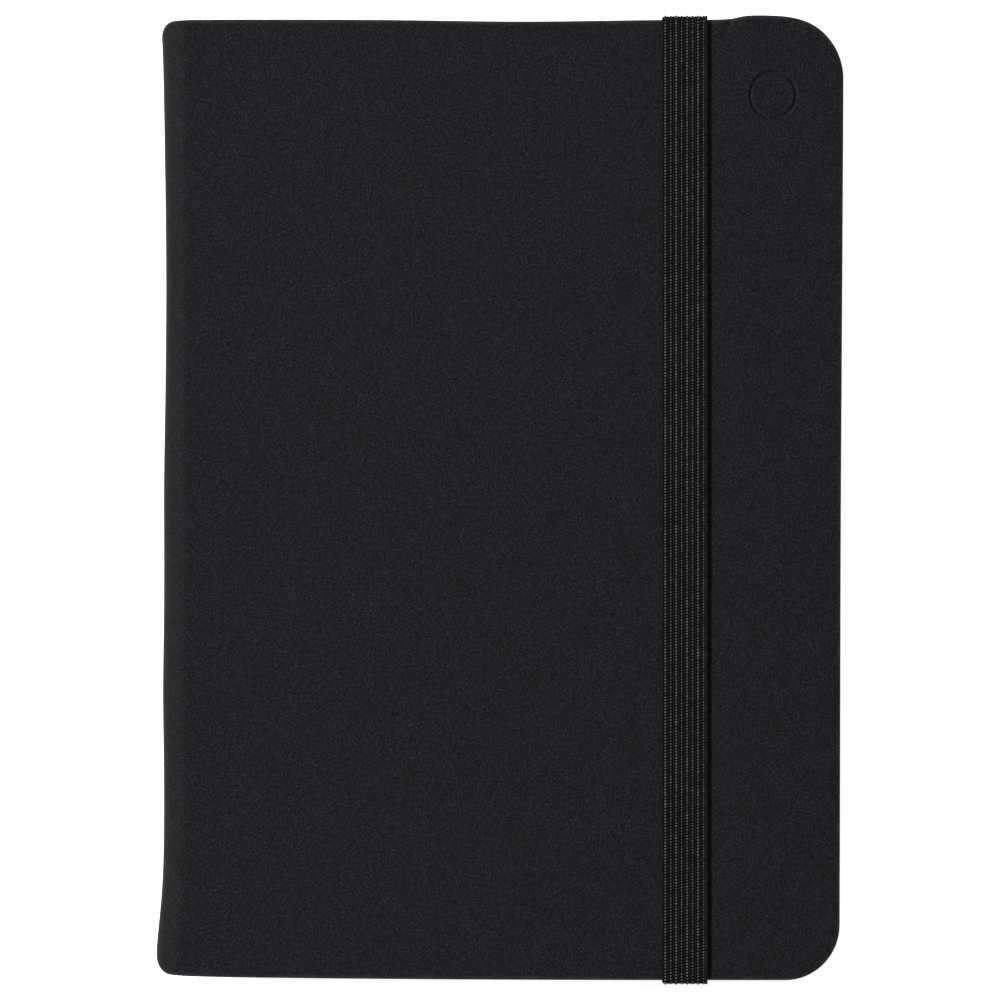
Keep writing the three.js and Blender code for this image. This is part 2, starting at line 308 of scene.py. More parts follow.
def paper_material(name, colour):
    """Uncoated paper: soft fibres, faint clouds, and a slight tone of its own for each sheet."""
    n = Nodes(name, 0.85)
    place = n.add("ShaderNodeTexCoord").outputs["Object"]
    leaf = n.attribute("leaf_tone").outputs["Fac"]
    fibres = n.noise(place, 2600.0, 5.0, 0.65)
    cloud = n.noise(place, 60.0, 3.0, 0.5)
    tone = n.mix(leaf, scaled(colour, 0.9), scaled(colour, 1.04))
    tone = n.mix(n.ramp(fibres, [(0.3, 0.35), (0.7, 0.0)]), tone, scaled(colour, 0.84))
    tone = n.mix(n.ramp(cloud, [(0.3, 0.2), (0.7, 0.0)]), tone, scaled(colour, 0.88))
    n.join(tone, "Base Color")
    n.shader.inputs["Specular IOR Level"].default_value = 0.25
    n.join(n.bump(fibres, 0.01 * MM, 0.5), "Normal")
    return n.material


def board_material():
    """Grey-brown pulp board with coarse flecks."""
    n = Nodes("board", 0.95)
    place = n.add("ShaderNodeTexCoord").outputs["Object"]
    flecks = n.noise(place, 1800.0, 5.0, 0.7)
    n.join(n.ramp(flecks, [(0.3, (0.19, 0.16, 0.12)), (0.7, (0.34, 0.30, 0.24))]), "Base Color")
    n.join(n.bump(flecks, 0.02 * MM), "Normal")
    return n.material


def woven_material(colour, threads_per_metre):
    """Plain woven cloth: two sets of threads that cross at right angles."""
    n = Nodes("lining_cloth", 0.9)
    place = n.add("ShaderNodeTexCoord").outputs["Object"]
    waves = [
        n.add(
            "ShaderNodeTexWave",
            {"Vector": place, "Scale": threads_per_metre, "Distortion": 0.6, "Detail": 1.0},
            bands_direction=direction,
        ).outputs["Fac"]
        for direction in ("Y", "Z")
    ]
    weave = n.math("MAXIMUM", *waves)
    n.join(n.ramp(weave, [(0.2, scaled(colour, 0.6)), (0.9, colour)]), "Base Color")
    n.shader.inputs["Sheen Weight"].default_value = 0.2
    n.join(n.bump(weave, 0.05 * MM), "Normal")
    return n.material


def thread_material(colour):
    """Waxed linen thread with a twist."""
    n = Nodes("thread", 0.7)
    place = n.add("ShaderNodeTexCoord").outputs["Object"]
    twist = n.add(
        "ShaderNodeTexWave", {"Vector": place, "Scale": 900.0, "Distortion": 1.0}, bands_direction="DIAGONAL"
    ).outputs["Fac"]
    n.join(n.ramp(twist, [(0.1, scaled(colour, 0.7)), (0.8, colour)]), "Base Color")
    n.join(n.bump(twist, 0.04 * MM), "Normal")
    return n.material


def yarn_material(colour):
    """Knitted elastic: painted shade in the furrows and painted highlights on the beads, with fine filaments
    along each stitch.
    """
    n = Nodes("elastic", 0.72)
    place = n.add("ShaderNodeTexCoord").outputs["Object"]
    painted_light = n.attribute("painted_light").outputs["Fac"]
    stretched = n.add("ShaderNodeMapping", {"Vector": place, "Scale": (3.0, 1.0, 1.0)}).outputs["Vector"]
    filaments = n.noise(stretched, 9000.0, 3.0, 0.6)
    patches = n.noise(place, 1500.0, 3.0, 0.6)
    # Painted light: the furrows near black as painted shade, the beads many times paler as painted
    # highlights.
    furrow, slanted, bead = (scaled(colour, share) for share in (0.05, 2.0, 15.5))
    tone = n.ramp(painted_light, [(0.0, furrow), (0.4, slanted), (1.0, bead)])
    tone = n.mix(n.ramp(patches, [(0.35, 0.75), (0.65, 0.0)]), tone, scaled(colour, 0.3))
    tone = n.mix(n.ramp(filaments, [(0.45, 0.5), (0.7, 0.0)]), tone, scaled(colour, 0.2))
    n.join(tone, "Base Color")
    n.shader.inputs["Specular IOR Level"].default_value = 0.03
    n.join(n.bump(filaments, 0.02 * MM, 0.8), "Normal")
    return n.material


# ---- Mesh helpers ----


def link(name, mesh):
    obj = bpy.data.objects.new(name, mesh)
    bpy.context.scene.collection.objects.link(obj)
    return obj


def smooth(mesh, angle):
    """Smooth shading, but for edges sharper than the angle in degrees."""
    mesh.shade_smooth()
    mesh.set_sharp_from_angle(angle=math.radians(angle))


def mesh_of(name, vertices, faces, material, smooth_angle=40):
    mesh = bpy.data.meshes.new(name)
    mesh.from_pydata([tuple(v) for v in vertices], [], faces)
    mesh.materials.append(material)
    smooth(mesh, smooth_angle)
    return mesh


def set_attribute(mesh, name, kind, values):
    attribute = mesh.attributes.new(name, kind, "POINT")
    field = "vector" if kind == "FLOAT_VECTOR" else "value"
    attribute.data.foreach_set(field, np.asarray(values, np.float32).ravel())


def applied(obj, smooth_angle=40):
    """Turns the object's modifiers into its own plain mesh."""
    graph = bpy.context.evaluated_depsgraph_get()
    mesh = bpy.data.meshes.new_from_object(obj.evaluated_get(graph))
    obj.modifiers.clear()
    obj.data = mesh
    smooth(mesh, smooth_angle)
    return obj


def steps(low, high, spacing):
    """Even values from low up to, but not including, high."""
    count = max(1, round((high - low) / spacing))
    return [low + (high - low) * i / count for i in range(count)]


def quads(rows, columns):
    """Faces of a grid of vertices, stored row by row."""
    corners = [r * columns + c for r in range(rows - 1) for c in range(columns - 1)]
    return [(a, a + 1, a + columns + 1, a + columns) for a in corners]


def wall_faces(rings, count):
    """Faces of a tube's wall through closed rings of count vertices."""
    faces = []
    for r in range(rings - 1):
        for c in range(count):
            a, b = r * count + c, r * count + (c + 1) % count
            faces.append((a, b, b + count, a + count))
    return faces


def swept(sections):
    """A closed solid through like sections, each a way out and a way back, capped by a strip of quads."""
    count = len(sections[0])
    vertices = [point for section in sections for point in section]
    faces = wall_faces(len(sections), count)
    last = (len(sections) - 1) * count
    for i in range(count // 2 - 1):
        faces.append((i + 1, i, count - 1 - i, count - 2 - i))
        faces.append((last + i, last + i + 1, last + count - 2 - i, last + count - 1 - i))
    return vertices, faces


def tube(sections):
    """A closed tube through like sections, with one flat cap at each end."""
    count = len(sections[0])
    vertices = [point for section in sections for point in section]
    faces = [face[::-1] for face in wall_faces(len(sections), count)]
    last = (len(sections) - 1) * count
    faces.append(tuple(range(count)))
    faces.append(tuple(range(last + count - 1, last - 1, -1)))
    return vertices, faces


def left_normals(path):
    """The points of a 2-D path, and the unit normal on its left at each."""
    line = np.array(path)
    along = np.gradient(line, axis=0)
    along /= np.linalg.norm(along, axis=1)[:, None]
    return line, np.stack([-along[:, 1], along[:, 0]], axis=1)


# ---- Cover ----

FOLD_STEPS = 12
EDGE_STEPS = 8
EDGE_POWER = 0.72  # 1 rolls the edge in a half circle, less makes it squarer
COARSE = 1.3 * MM  # grid spacing where the cover is plain
FINE = 0.12 * MM  # and at the pressed ring
HEAD_TURN, TAIL_TURN = 0.05, 0.09  # angle between rows round the fore-edge corners
RING_X = FORE_X - 10.8 * MM
RING_Y = HALF_HEIGHT - 11.9 * MM
RING_LINE = 0.23 * MM  # half width of the pressed line
RING_MARGIN = 0.8 * MM  # fine grid kept round the ring
SLOT_LENGTH = 1.2 * MM
SLOT_MARGIN = 0.3 * MM
JOINT_SLACK = 0.56  # thickness of the turned edge in the joint, as a share of that over a board
PINCH = 1.9  # how far the spine's ends are drawn in, in millimetres


def hump(value, centre, width):
    return np.exp(-(((value - centre) / width) ** 2))


def rise_past(value, centre, width):
    return 1 / (1 + np.exp(-(value - centre) / width))


def eased(share):
    """The share, started and ended gently."""
    return share * share * (3 - 2 * share)


def soft_set(x, y, rise, side):
    """How far the soft cover has settled out of true: shifts in X, Y and outwards, worked in millimetres."""
    x, y = x / MM, y / MM
    head = np.maximum(HALF_HEIGHT / MM - y, 0)
    tail = np.maximum(HALF_HEIGHT / MM + y, 0)
    spine = np.maximum(x - SPINE_X / MM, 0)
    fore = np.maximum(FORE_X / MM - x, 0)
    along = spine / ((FORE_X - SPINE_X) / MM)

    # The spine's line: flared at the tail, a little at the head, and wavy between.
    bowed = -0.2 - 0.36 * np.exp(-head / 9) - 1.15 * hump(tail, 0, 11.6)
    bowed += 0.33 * hump(y, 33, 24) - 0.16 * hump(y, -30, 9) - 0.08 * hump(y, 3, 8)
    dx = bowed * np.exp(-spine / 8)
    # The fore edge leans out towards the head.
    dx += (0.33 * y / (HALF_HEIGHT / MM) - 0.1 * hump(y, -5, 40)) * np.exp(-fore / 25)

    # The head edge sags in the middle, and on the front it springs up past the band.
    dy = -0.02 - 0.3 * hump(along, 0.53, 0.16)
    if side > 0:
        dy = dy + 0.68 * rise_past(x, 36.2, 0.8) - 0.22 * hump(x, 45, 3)
    # The tail edge comes in towards the spine, and both of the spine's ends are drawn in.
    dy = dy * np.exp(-head / 8) + (0.62 * (1 - along) ** 3 - 0.13) * np.exp(-tail / 12)
    near = np.clip(PINCH - spine, 0, PINCH)
    pinch = PINCH - np.sqrt(PINCH**2 - near**2) + 0.45 * np.exp(-spine / 2.5)
    dy += pinch * (1.25 * np.exp(-tail / 7) - np.exp(-head / 7))

    # The faces swell and sink, dip under the band, and crease where the head edge springs up.
    out = 0.05 * np.sin(x / 13 + 1) * np.sin(y / 17 + 0.4) - 0.1 * hump(x, BAND_X / MM, 5)
    if side > 0:
        out -= 0.34 * hump(x + 0.5 * head, 35.2, 0.55) * np.exp(-head / 2.2)
        out += 0.2 * hump(x, 37.6, 1.6) * np.exp(-head / 3.5)
        out += 0.12 * hump(x, 33.6, 0.8) * np.exp(-head / 2.0)
    return dx * MM, dy * MM, out * MM * rise


def pressed_ring(x, y, sizes):
    """Depth of the pressed ring at each point."""
    away = np.hypot(x - RING_X, y - RING_Y) - sizes.ring_diameter / 2
    groove = np.exp(-((away / RING_LINE) ** 4))
    shoulder = 0.18 * np.exp(-(((np.abs(away) - 2.2 * RING_LINE) / RING_LINE) ** 2))
    return sizes.ring_depth * (groove - shoulder)


class CoverGrid:
    """Half of the case's outside, from the middle of the spine round a fold to the fore edge.

    It is worked out for the front, as X, Y and a height over the case's middle. The back is its mirror image.
    """

    def __init__(self, sizes, side):
        self.edge = PANEL / 2
        self.fine = FINE if side > 0 else COARSE
        self.ring_reach = sizes.ring_diameter / 2 + RING_MARGIN
        self.flat_x = SPINE_X + FOLD_RADIUS
        self.rows = self.make_rows(sizes)
        self.columns = self.make_columns()

    def make_rows(self, sizes):
        """Each row's y, its end in x, and the direction in which it meets the outline."""
        slot, reach = SLOT_LENGTH / 2, self.ring_reach
        low, high = -HALF_HEIGHT + sizes.tail_corner, HALF_HEIGHT - sizes.head_corner
        straight = steps(low, -SLOT_Y - slot, COARSE)
        straight += [-SLOT_Y - slot] + steps(-SLOT_Y + slot, RING_Y - reach, COARSE)
        straight += steps(RING_Y - reach, high, self.fine)
        rows = [(y, FORE_X - self.edge, 0.0) for y in straight]
        head_arc, tail_arc = sizes.head_corner - self.edge, sizes.tail_corner - self.edge
        last = math.asin(min(1, (RING_Y + reach - high) / head_arc))
        angles = steps(0, last, self.fine / head_arc) + steps(last, math.pi / 2, HEAD_TURN) + [math.pi / 2]
        head = [
            (high + head_arc * math.sin(a), FORE_X - sizes.head_corner + head_arc * math.cos(a), a)
            for a in angles
        ]
        tail = [
            (low + tail_arc * math.sin(a), FORE_X - sizes.tail_corner + tail_arc * math.cos(a), a)
            for a in steps(-math.pi / 2, 0, TAIL_TURN)
        ]
        return tail + rows + head

    def make_columns(self):
        """Each column as a share of the flat part, and before that its place round the spine and fold."""
        reach = self.ring_reach
        left, right = BAND_X - BAND_WIDTH / 2 - SLOT_MARGIN, BAND_X + BAND_WIDTH / 2 + SLOT_MARGIN
        end = FORE_X - self.edge
        xs = steps(self.flat_x, left, COARSE) + steps(left, right, COARSE)
        xs += steps(right, RING_X - reach, COARSE / 4) + steps(RING_X - reach, RING_X + reach, self.fine)
        xs += steps(RING_X + reach, end, COARSE / 2) + [end]
        shares = [(x - self.flat_x) / (end - self.flat_x) for x in xs[1:]]
        spine = [("spine", h) for h in steps(0, HALF_CASE - FOLD_RADIUS, COARSE / 2)]
        fold = [("fold", i * math.pi / 2 / FOLD_STEPS) for i in range(FOLD_STEPS + 1)]
        return spine + fold + [("flat", share) for share in shares]

    def section(self, kind, value, end):
        """x, height, inward direction and unrolled distance at one column of a row."""
        base = HALF_CASE - FOLD_RADIUS
        if kind == "spine":
            return SPINE_X, value, (1.0, 0.0), value
        if kind == "fold":
            sine, cosine = math.sin(value), math.cos(value)
            x = SPINE_X + FOLD_RADIUS * (1 - cosine)
            return x, base + FOLD_RADIUS * sine, (cosine, -sine), base + FOLD_RADIUS * value
        x = self.flat_x + value * (end - self.flat_x)
        return x, HALF_CASE, (0.0, -1.0), base + FOLD_RADIUS * math.pi / 2 + x - self.flat_x

    def fullness(self, x, height):
        """How thick the turned edge is: full over a board or the spine's card, slack in the joint between."""
        over_board = min(1, max(0, (x - BOARD_LOW.x + 1.2 * MM) / (1.6 * MM)))
        over_card = min(1, max(0, (STRIP_HIGH.z - MIDDLE_Z + 0.4 * MM - height) / (0.8 * MM)))
        share = max(over_board, over_card * (x < SPINE_X + 1 * MM) * 0.88)
        return JOINT_SLACK + (1 - JOINT_SLACK) * eased(share)

    def rim(self):
        """Grid indices along the outline, from the spine round tail, fore edge and head, with directions."""
        last_row, last_column = len(self.rows) - 1, len(self.columns) - 1
        tail = [((0, c), -math.pi / 2) for c in range(last_column)]
        fore = [((r, last_column), row[2]) for r, row in enumerate(self.rows)]
        head = [((last_row, c), math.pi / 2) for c in range(last_column - 1, -1, -1)]
        return tail + fore + head


def squarish(angle):
    """Reach and depth round the rolled edge: flatter than a circle over the cover, rounder at the rim."""
    sine, cosine = abs(math.sin(angle)), math.cos(angle)
    return sine**EDGE_POWER, 1 - math.copysign(abs(cosine) ** EDGE_POWER, cosine)


def cover_half(name, side, sizes, material):
    """The skin of one cover with its half of the spine, turned over its edges, as a closed shell."""
    grid = CoverGrid(sizes, side)
    columns = len(grid.columns)
    points, inward, flat, edges = [], [], [], []
    for y, end, _ in grid.rows:
        for kind, value in grid.columns:
            x, height, direction, distance = grid.section(kind, value, end)
            points.append((x, y, height))
            inward.append(direction)
            flat.append((distance, y))
            edges.append(0.0)
    faces = quads(len(grid.rows), columns)
    if side < 0:
        faces = without_slots(faces, points)

    rim = grid.rim()
    ring = [r * columns + c for (r, c), _ in rim]
    lip = sizes.turn_in - grid.edge
    profile = [(*squarish(a), a, 0.0) for a in np.linspace(0, math.pi, EDGE_STEPS + 1)[1:]]
    profile += [(0.0, 2.0, math.pi, share) for share in (0.35, 0.7, 1.0)]
    outline = list(ring)
    for reach, depth, angle, share in profile:
        start = len(points)
        for index, (_, heading) in zip(outline, rim):
            x, y, height = points[index]
            dx, dh = inward[index]
            thin = grid.fullness(x, height)
            out = grid.edge * reach - lip * share
            down = grid.edge * thin * depth
            side_x, side_y = math.cos(heading), math.sin(heading)
            points.append((x + side_x * out + dx * down, y + side_y * out, height + dh * down))
            inward.append((dx, dh))
            travelled = grid.edge * angle + lip * share
            flat.append((flat[index][0] + side_x * travelled, flat[index][1] + side_y * travelled))
            edges.append(math.sin(angle))
        new = list(range(start, len(points)))
        faces += [(ring[i], new[i], new[i + 1], ring[i + 1]) for i in range(len(ring) - 1)]
        ring = new

    place = np.array(points)
    x, y, height = place.T
    outward = -np.array(inward)
    on_top = np.clip(height / HALF_CASE, 0, 1) ** 4
    dx, dy, rise = soft_set(x, y, on_top, side)
    if side > 0:
        rise = rise - pressed_ring(x, y, sizes) * (height > HALF_CASE - 0.01 * MM)
    x = x + dx + outward[:, 0] * rise
    y = y + dy
    height = height + outward[:, 1] * rise
    vertices = np.stack([x, y, MIDDLE_Z + side * height], axis=1)
    if side < 0:
        faces = [face[::-1] for face in faces]
    mesh = mesh_of(name, vertices, faces, material)
    set_attribute(mesh, "unrolled", "FLOAT_VECTOR", [(s, v, side * MM) for s, v in flat])
    set_attribute(mesh, "edge", "FLOAT", edges)
    piece = link(name, mesh)
    wall = piece.modifiers.new("wall", "SOLIDIFY")
    wall.thickness = sizes.skin
    wall.offset = -1
    return applied(piece)


def without_slots(faces, points):
    """Leaves out the faces where the band's ends go through the back cover."""
    kept = []
    for face in faces:
        x = sum(points[i][0] for i in face) / 4
        y = sum(points[i][1] for i in face) / 4
        in_width = abs(x - BAND_X) < BAND_WIDTH / 2 + SLOT_MARGIN
        in_length = abs(abs(y) - SLOT_Y) < SLOT_LENGTH / 2
        if not (in_width and in_length):
            kept.append(face)
    return kept


def blend_fold(piece, side):
    if side > 0:
        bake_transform(piece)
    else:
        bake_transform(piece)


class NOTEBOOK_OT_cover(bpy.types.Operator):
    """Makes the leather-look skin of both covers and the spine"""

    bl_idname = "notebook.cover"
    bl_label = "Cover Skin"

    def execute(self, context):
        sizes = context.scene.notebook_cover
        material = leather_material(tuple(sizes.colour))
        front = cover_half("front_cover_leather", 1, sizes, material)
        back = cover_half("back_cover_leather", -1, sizes, material)
        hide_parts("front_cover_skin", "spine_skin")
        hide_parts("back_cover_skin")
        for piece, side in ((front, 1), (back, -1)):
            blend_fold(piece, side)
        return {"FINISHED"}


# ---- Leaves ----

LEAF_GAP = 0.012 * MM  # air between two sheets of a signature
ARC_STEPS = 6
CORNER_ARC_STEPS = 7
PAGE_CORNER = 7.3 * MM
ROW_SPACING = 18 * MM


def leaf_rows(radius, fore, half_height):
    """Rows across a leaf with two rounded corners, as y and the leaf's end in x."""
    angles = [i * math.pi / 2 / CORNER_ARC_STEPS for i in range(CORNER_ARC_STEPS + 1)]
    centre_y, centre_x = half_height - radius, fore - radius
    head = [(centre_y + radius * math.sin(a), centre_x + radius * math.cos(a)) for a in angles]
    tail = [(-y, x) for y, x in reversed(head)]
    middle = [(y, fore) for y in steps(-half_height + radius, half_height - radius, ROW_SPACING)[1:]]
    return tail + middle + head


def folded_sheet(fold_x, middle, outer, inner, ends, rows_of):
    """One sheet folded at the spine into two leaves, upper and lower."""
    upper, lower = ends
    sections = []
    for (y_up, x_up), (_, x_low) in zip(rows_of(upper), rows_of(lower)):
        def side(height):
            near = fold_x + (x_up - fold_x) * 0.5
            arc = [
                (fold_x - height * math.sin(a), middle + height * math.cos(a))
                for a in (i * math.pi / ARC_STEPS for i in range(ARC_STEPS + 1))
            ]
            return [(x_up, middle + height), (near, middle + height), *arc,
                    (near, middle - height), (x_low, middle - height)]
        section = side(outer) + side(inner)[::-1]
        sections.append([(x, y_up, z) for x, z in section])
    return swept(sections)


def signature_piece(index, sizes, material, rng):
    """The folded sheets of one signature, nested one inside the next."""
    low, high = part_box(f"signature_{index}")
    middle = (low.z + high.z) / 2
    half = (high.z - low.z) / 2
    pitch = half / sizes.sheets
    vertices, faces, tones = [], [], []
    for k in range(sizes.sheets):
        outer = half - k * pitch - LEAF_GAP / 2
        inner = outer - pitch + LEAF_GAP
        ends = [rng.uniform(-sizes.scatter, 0) for _ in range(2)]
        trim = rng.uniform(-sizes.scatter, 0)

        def rows_of(end, trim=trim):
            return leaf_rows(PAGE_CORNER, high.x + end, high.y + trim)

        points, sheet_faces = folded_sheet(low.x + half, middle, outer, inner, ends, rows_of)
        base = len(vertices)
        vertices += points
        faces += [tuple(base + i for i in face) for face in sheet_faces]
        tones += [rng.random()] * len(points)
    piece = link(f"signature_{index}_leaves", mesh_of(f"signature_{index}", vertices, faces, material, 30))
    set_attribute(piece.data, "leaf_tone", "FLOAT", tones)
    return piece


class NOTEBOOK_OT_leaves(bpy.types.Operator):
    """Makes the folded sheets of each signature"""

    bl_idname = "notebook.leaves"
    bl_label = "Leaves"

    def execute(self, context):
        sizes = context.scene.notebook_pages
        rng = random.Random(SEED)
        material = paper_material("page", tuple(sizes.colour))
        for index in range(1, 7):
            piece = signature_piece(index, sizes, material, rng)
            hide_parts(f"signature_{index}")
            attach(piece, f"leaves_{index}" if index < 4 else "back_cover")
        return {"FINISHED"}


# ---- Endpapers ----

ENDPAPER = 0.15 * MM
FOLD_CLEARANCE = 1 * MM  # keeps the free half off the fold when the notebook lies open
LINED_DEPTH = 0.75 * MM  # from the skin's outside to the paper, round the fold
LINED_FROM = 0.8  # the pasted half begins this far round the fold
BOARD_DROP = 0.9 * MM  # half the length over which it drops off the board's edge


def endpaper_piece(name, sections, material, mirrored=False):
    """A sheet through its sections, in one even tone."""
    vertices, faces = swept(sections)
    if mirrored:
        faces = [face[::-1] for face in faces]
    piece = link(name, mesh_of(name, vertices, faces, material, 30))
    set_attribute(piece.data, "leaf_tone", "FLOAT", [0.5] * len(vertices))
    return piece


def flyleaf_piece(name, node, material):
    """The free half of an endpaper, with rounded corners and the faintest wave."""
    low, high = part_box(node)
    start = low.x + FOLD_CLEARANCE
    sections = []
    xs = steps(0, 1, 1 / 24) + [1]
    for y, end in leaf_rows(PAGE_CORNER, high.x, high.y):
        wave = [0.02 * MM * math.sin(9 * u + y / MM / 15) * math.sin(math.pi * u) for u in xs]
        upper = [(start + u * (end - start), y, high.z + w) for u, w in zip(xs, wave)]
        lower = [(x, y, z - (high.z - low.z)) for x, y, z in upper]
        sections.append(upper[::-1] + lower)
    return endpaper_piece(name, sections, material)


def pastedown_piece(name, side, sizes, material):
    """The pasted half of an endpaper. It drops off the board's edge and lines the end of the fold."""
    inset = sizes.turn_in + 0.05 * MM
    radius = sizes.head_corner - inset
    lined = FOLD_RADIUS - LINED_DEPTH
    centre_x, centre_h = SPINE_X + FOLD_RADIUS, HALF_CASE - FOLD_RADIUS
    board_depth = PANEL - ENDPAPER / 2
    board_x = BOARD_LOW.x
    sections = []
    for y, end in leaf_rows(radius, FORE_X - inset, HALF_HEIGHT - inset):
        angles = [math.pi / 2 * (LINED_FROM + (1 - LINED_FROM) * i / 2) for i in range(3)]
        path = [(centre_x - lined * math.cos(a), centre_h + lined * math.sin(a)) for a in angles]
        for share in (i / 6 for i in range(7)):
            depth = LINED_DEPTH + (board_depth - LINED_DEPTH) * eased(share)
            path.append((board_x - BOARD_DROP + share * 1.6 * BOARD_DROP, HALF_CASE - depth))
        start = board_x + BOARD_DROP
        path += [(start + u * (end - start), HALF_CASE - board_depth) for u in (0.03, 0.35, 0.7, 1.0)]
        near, far = offset_path(path, ENDPAPER / 2)
        section = near + far[::-1]
        sections.append([(x, y, MIDDLE_Z + side * h) for x, h in section])
    return endpaper_piece(name, sections, material, side < 0)


def offset_path(path, distance):
    """The two sides of a path of 2-D points, at that distance from it."""
    line, normals = left_normals(path)
    across = normals * distance
    return [tuple(p) for p in line + across], [tuple(p) for p in line - across]


class NOTEBOOK_OT_endpapers(bpy.types.Operator):
    """Makes the pasted and the free half of both endpapers"""

    bl_idname = "notebook.endpapers"
    bl_label = "Endpapers"

    def execute(self, context):
        cover, pages = context.scene.notebook_cover, context.scene.notebook_pages
        material = paper_material("endpaper", tuple(pages.endpaper))
        for end, side, body in (("front", 1, "front_leaf"), ("back", -1, "back_cover")):
            leaf = flyleaf_piece(f"{end}_free_endpaper", f"{end}_flyleaf", material)
            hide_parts(f"{end}_flyleaf")
            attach(leaf, body)
            pasted = pastedown_piece(f"{end}_pasted_endpaper", side, cover, material)
            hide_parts(f"{end}_pastedown")
            blend_fold(pasted, side)
        return {"FINISHED"}


CARD_SHORT = 2.9 * MM  # the spine's card ends this far inside its node, under the turned skin


def strip_piece(material):
    """The strip of card inside the spine, with rounded corners. The skin's turned ends cover its own."""
    inset, thickness = 0.3 * MM, STRIP_HIGH.x - STRIP_LOW.x
    reach = STRIP_HIGH.y - CARD_SHORT
    half = (STRIP_HIGH.z - STRIP_LOW.z) / 2
    angles = [i * math.pi / 8 for i in range(5)]
    ends = [(reach - inset + inset * math.sin(a), half - inset + inset * math.cos(a)) for a in angles]
    rows = [(-y, z) for y, z in reversed(ends)] + [(0.0, half)] + ends
    soft = 0.08 * MM
    sections = []
    for y, z in rows:
        inner = [(soft, z), (0, z - soft), (0, soft - z), (soft, -z)]
        outer = [(thickness - soft, -z), (thickness, soft - z), (thickness, z - soft), (thickness - soft, z)]
        sections.append([(STRIP_LOW.x + x, y, MIDDLE_Z + h) for x, h in inner + outer])
    vertices, faces = tube(sections)
    return link("spine_card", mesh_of("spine_card", vertices, faces, material, 30))


class NOTEBOOK_OT_binding(bpy.types.Operator):
    """Makes the spine's card, and gives the boards, lining cloth and sewing thread their materials"""

    bl_idname = "notebook.binding"
    bl_label = "Binding"

    def execute(self, context):
        board = board_material()
        cloth = woven_material((0.76, 0.73, 0.63), 900.0)
        thread = thread_material((0.87, 0.83, 0.73))
        strip = strip_piece(board)
        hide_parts("spine_strip")
        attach(strip, "spine")
        dressed = {"front_board": board, "back_board": board}
        dressed.update({f"spine_lining_{end}": cloth for end in ("front", "back")})
        dressed.update({f"sewing_thread_{i}": thread for i in range(1, 7)})
        for node, material in dressed.items():
            for material_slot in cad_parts[node].material_slots:
                material_slot.material = material
        return {"FINISHED"}


# ---- Elastic band ----

BAND_BASE = 0.66  # share of the thickness under the ribs
RIB_HEIGHT = 0.09 * MM
EDGE_WIDTH = 0.14 * MM
TURN_RADIUS = 0.9 * MM
TURN_STEPS = 6
SIDE_MARGIN = 0.05 * MM  # between the stitches' base and the node's sides
BEAD_LENGTH = 0.92  # share of the pitch
BEAD_WIDTHS = (0.33 * MM, 0.28 * MM)  # on every other rib, and on the ribs between
BEAD_TURNS = (0.22, -0.55)
BEAD_GIRTHS = (0.8, 1.05, 0.8)
# Shares of painted light on the beads: a full highlight on every other rib, a weaker one on the ribs between.
BEAD_PAINTED_LIGHT = (1.0, 0.82)
SLANT_LENGTH, SLANT_WIDTH = 0.6 * MM, 0.15 * MM  # stitches in the furrows
# The second number on the next line is the slanted stitches' share of painted light.
SLANT_TURN, SLANT_PAINTED_LIGHT = 0.85, 0.4
SELVAGE_LENGTH, SELVAGE_WIDTH = 0.58 * MM, 0.22 * MM  # stitches bound round the far side
# The second number on the next line is the bound stitches' share of painted light.
SELVAGE_TURN, SELVAGE_PAINTED_LIGHT = -1.1, 0.42
HEAD_TUCK = 0.12 * MM  # the strap lies this far inside its node at the head
TAIL_REACH = 0.23 * MM  # and reaches this much further at the tail
TOP_TUCK = 0.08 * MM  # leaves room for the beads over the strap
UNDER_LIFT = 0.1 * MM  # keeps the stitches under the cover off the table
TAB_LIFT = 0.9 * MM  # from the end's outside to its hidden run inside the cover
TAB_SHOWN = 3 * MM  # length of that run in the visual piece


def rounded_path(corners):
    """A path through (y, z) points, with its square corners rounded."""
    path = [corners[0]]
    for before, here, after in zip(corners, corners[1:], corners[2:]):
        h = np.array(here)
        to_before = (np.array(before) - h) / np.linalg.norm(np.array(before) - h)
        to_after = (np.array(after) - h) / np.linalg.norm(np.array(after) - h)
        centre = h + (to_before + to_after) * TURN_RADIUS
        for i in range(TURN_STEPS + 1):
            a = i * math.pi / 2 / TURN_STEPS
            offset = -to_after * math.cos(a) - to_before * math.sin(a)
            path.append(tuple(centre + offset * TURN_RADIUS))
    path.append(corners[-1])
    return path


def rib_profile(width, low, ribs):
    """The outside of the band's section: a hump under each rib and a smooth rounded edge at the far side."""
    pitch = (width - EDGE_WIDTH) / ribs
    profile = []
    # The third value of each point is its share of painted light: painted shade over the ribs, a partly lit
    # rounded edge.
    for i in range(ribs):
        for share, lift in ((0.0, 0.0), (0.25, 0.7), (0.5, 1.0), (0.75, 0.7)):
            profile.append((-width / 2 + (i + share) * pitch, low + lift * RIB_HEIGHT, 0.0))
    edge = width / 2 - EDGE_WIDTH
    for share, lift in ((0.0, 0.1), (0.2, 0.9), (0.5, 1.2), (0.8, 0.8), (1.0, -0.4)):
        profile.append((edge + share * EDGE_WIDTH, low + lift * RIB_HEIGHT, 0.34 if share > 0.1 else 0.0))
    return profile


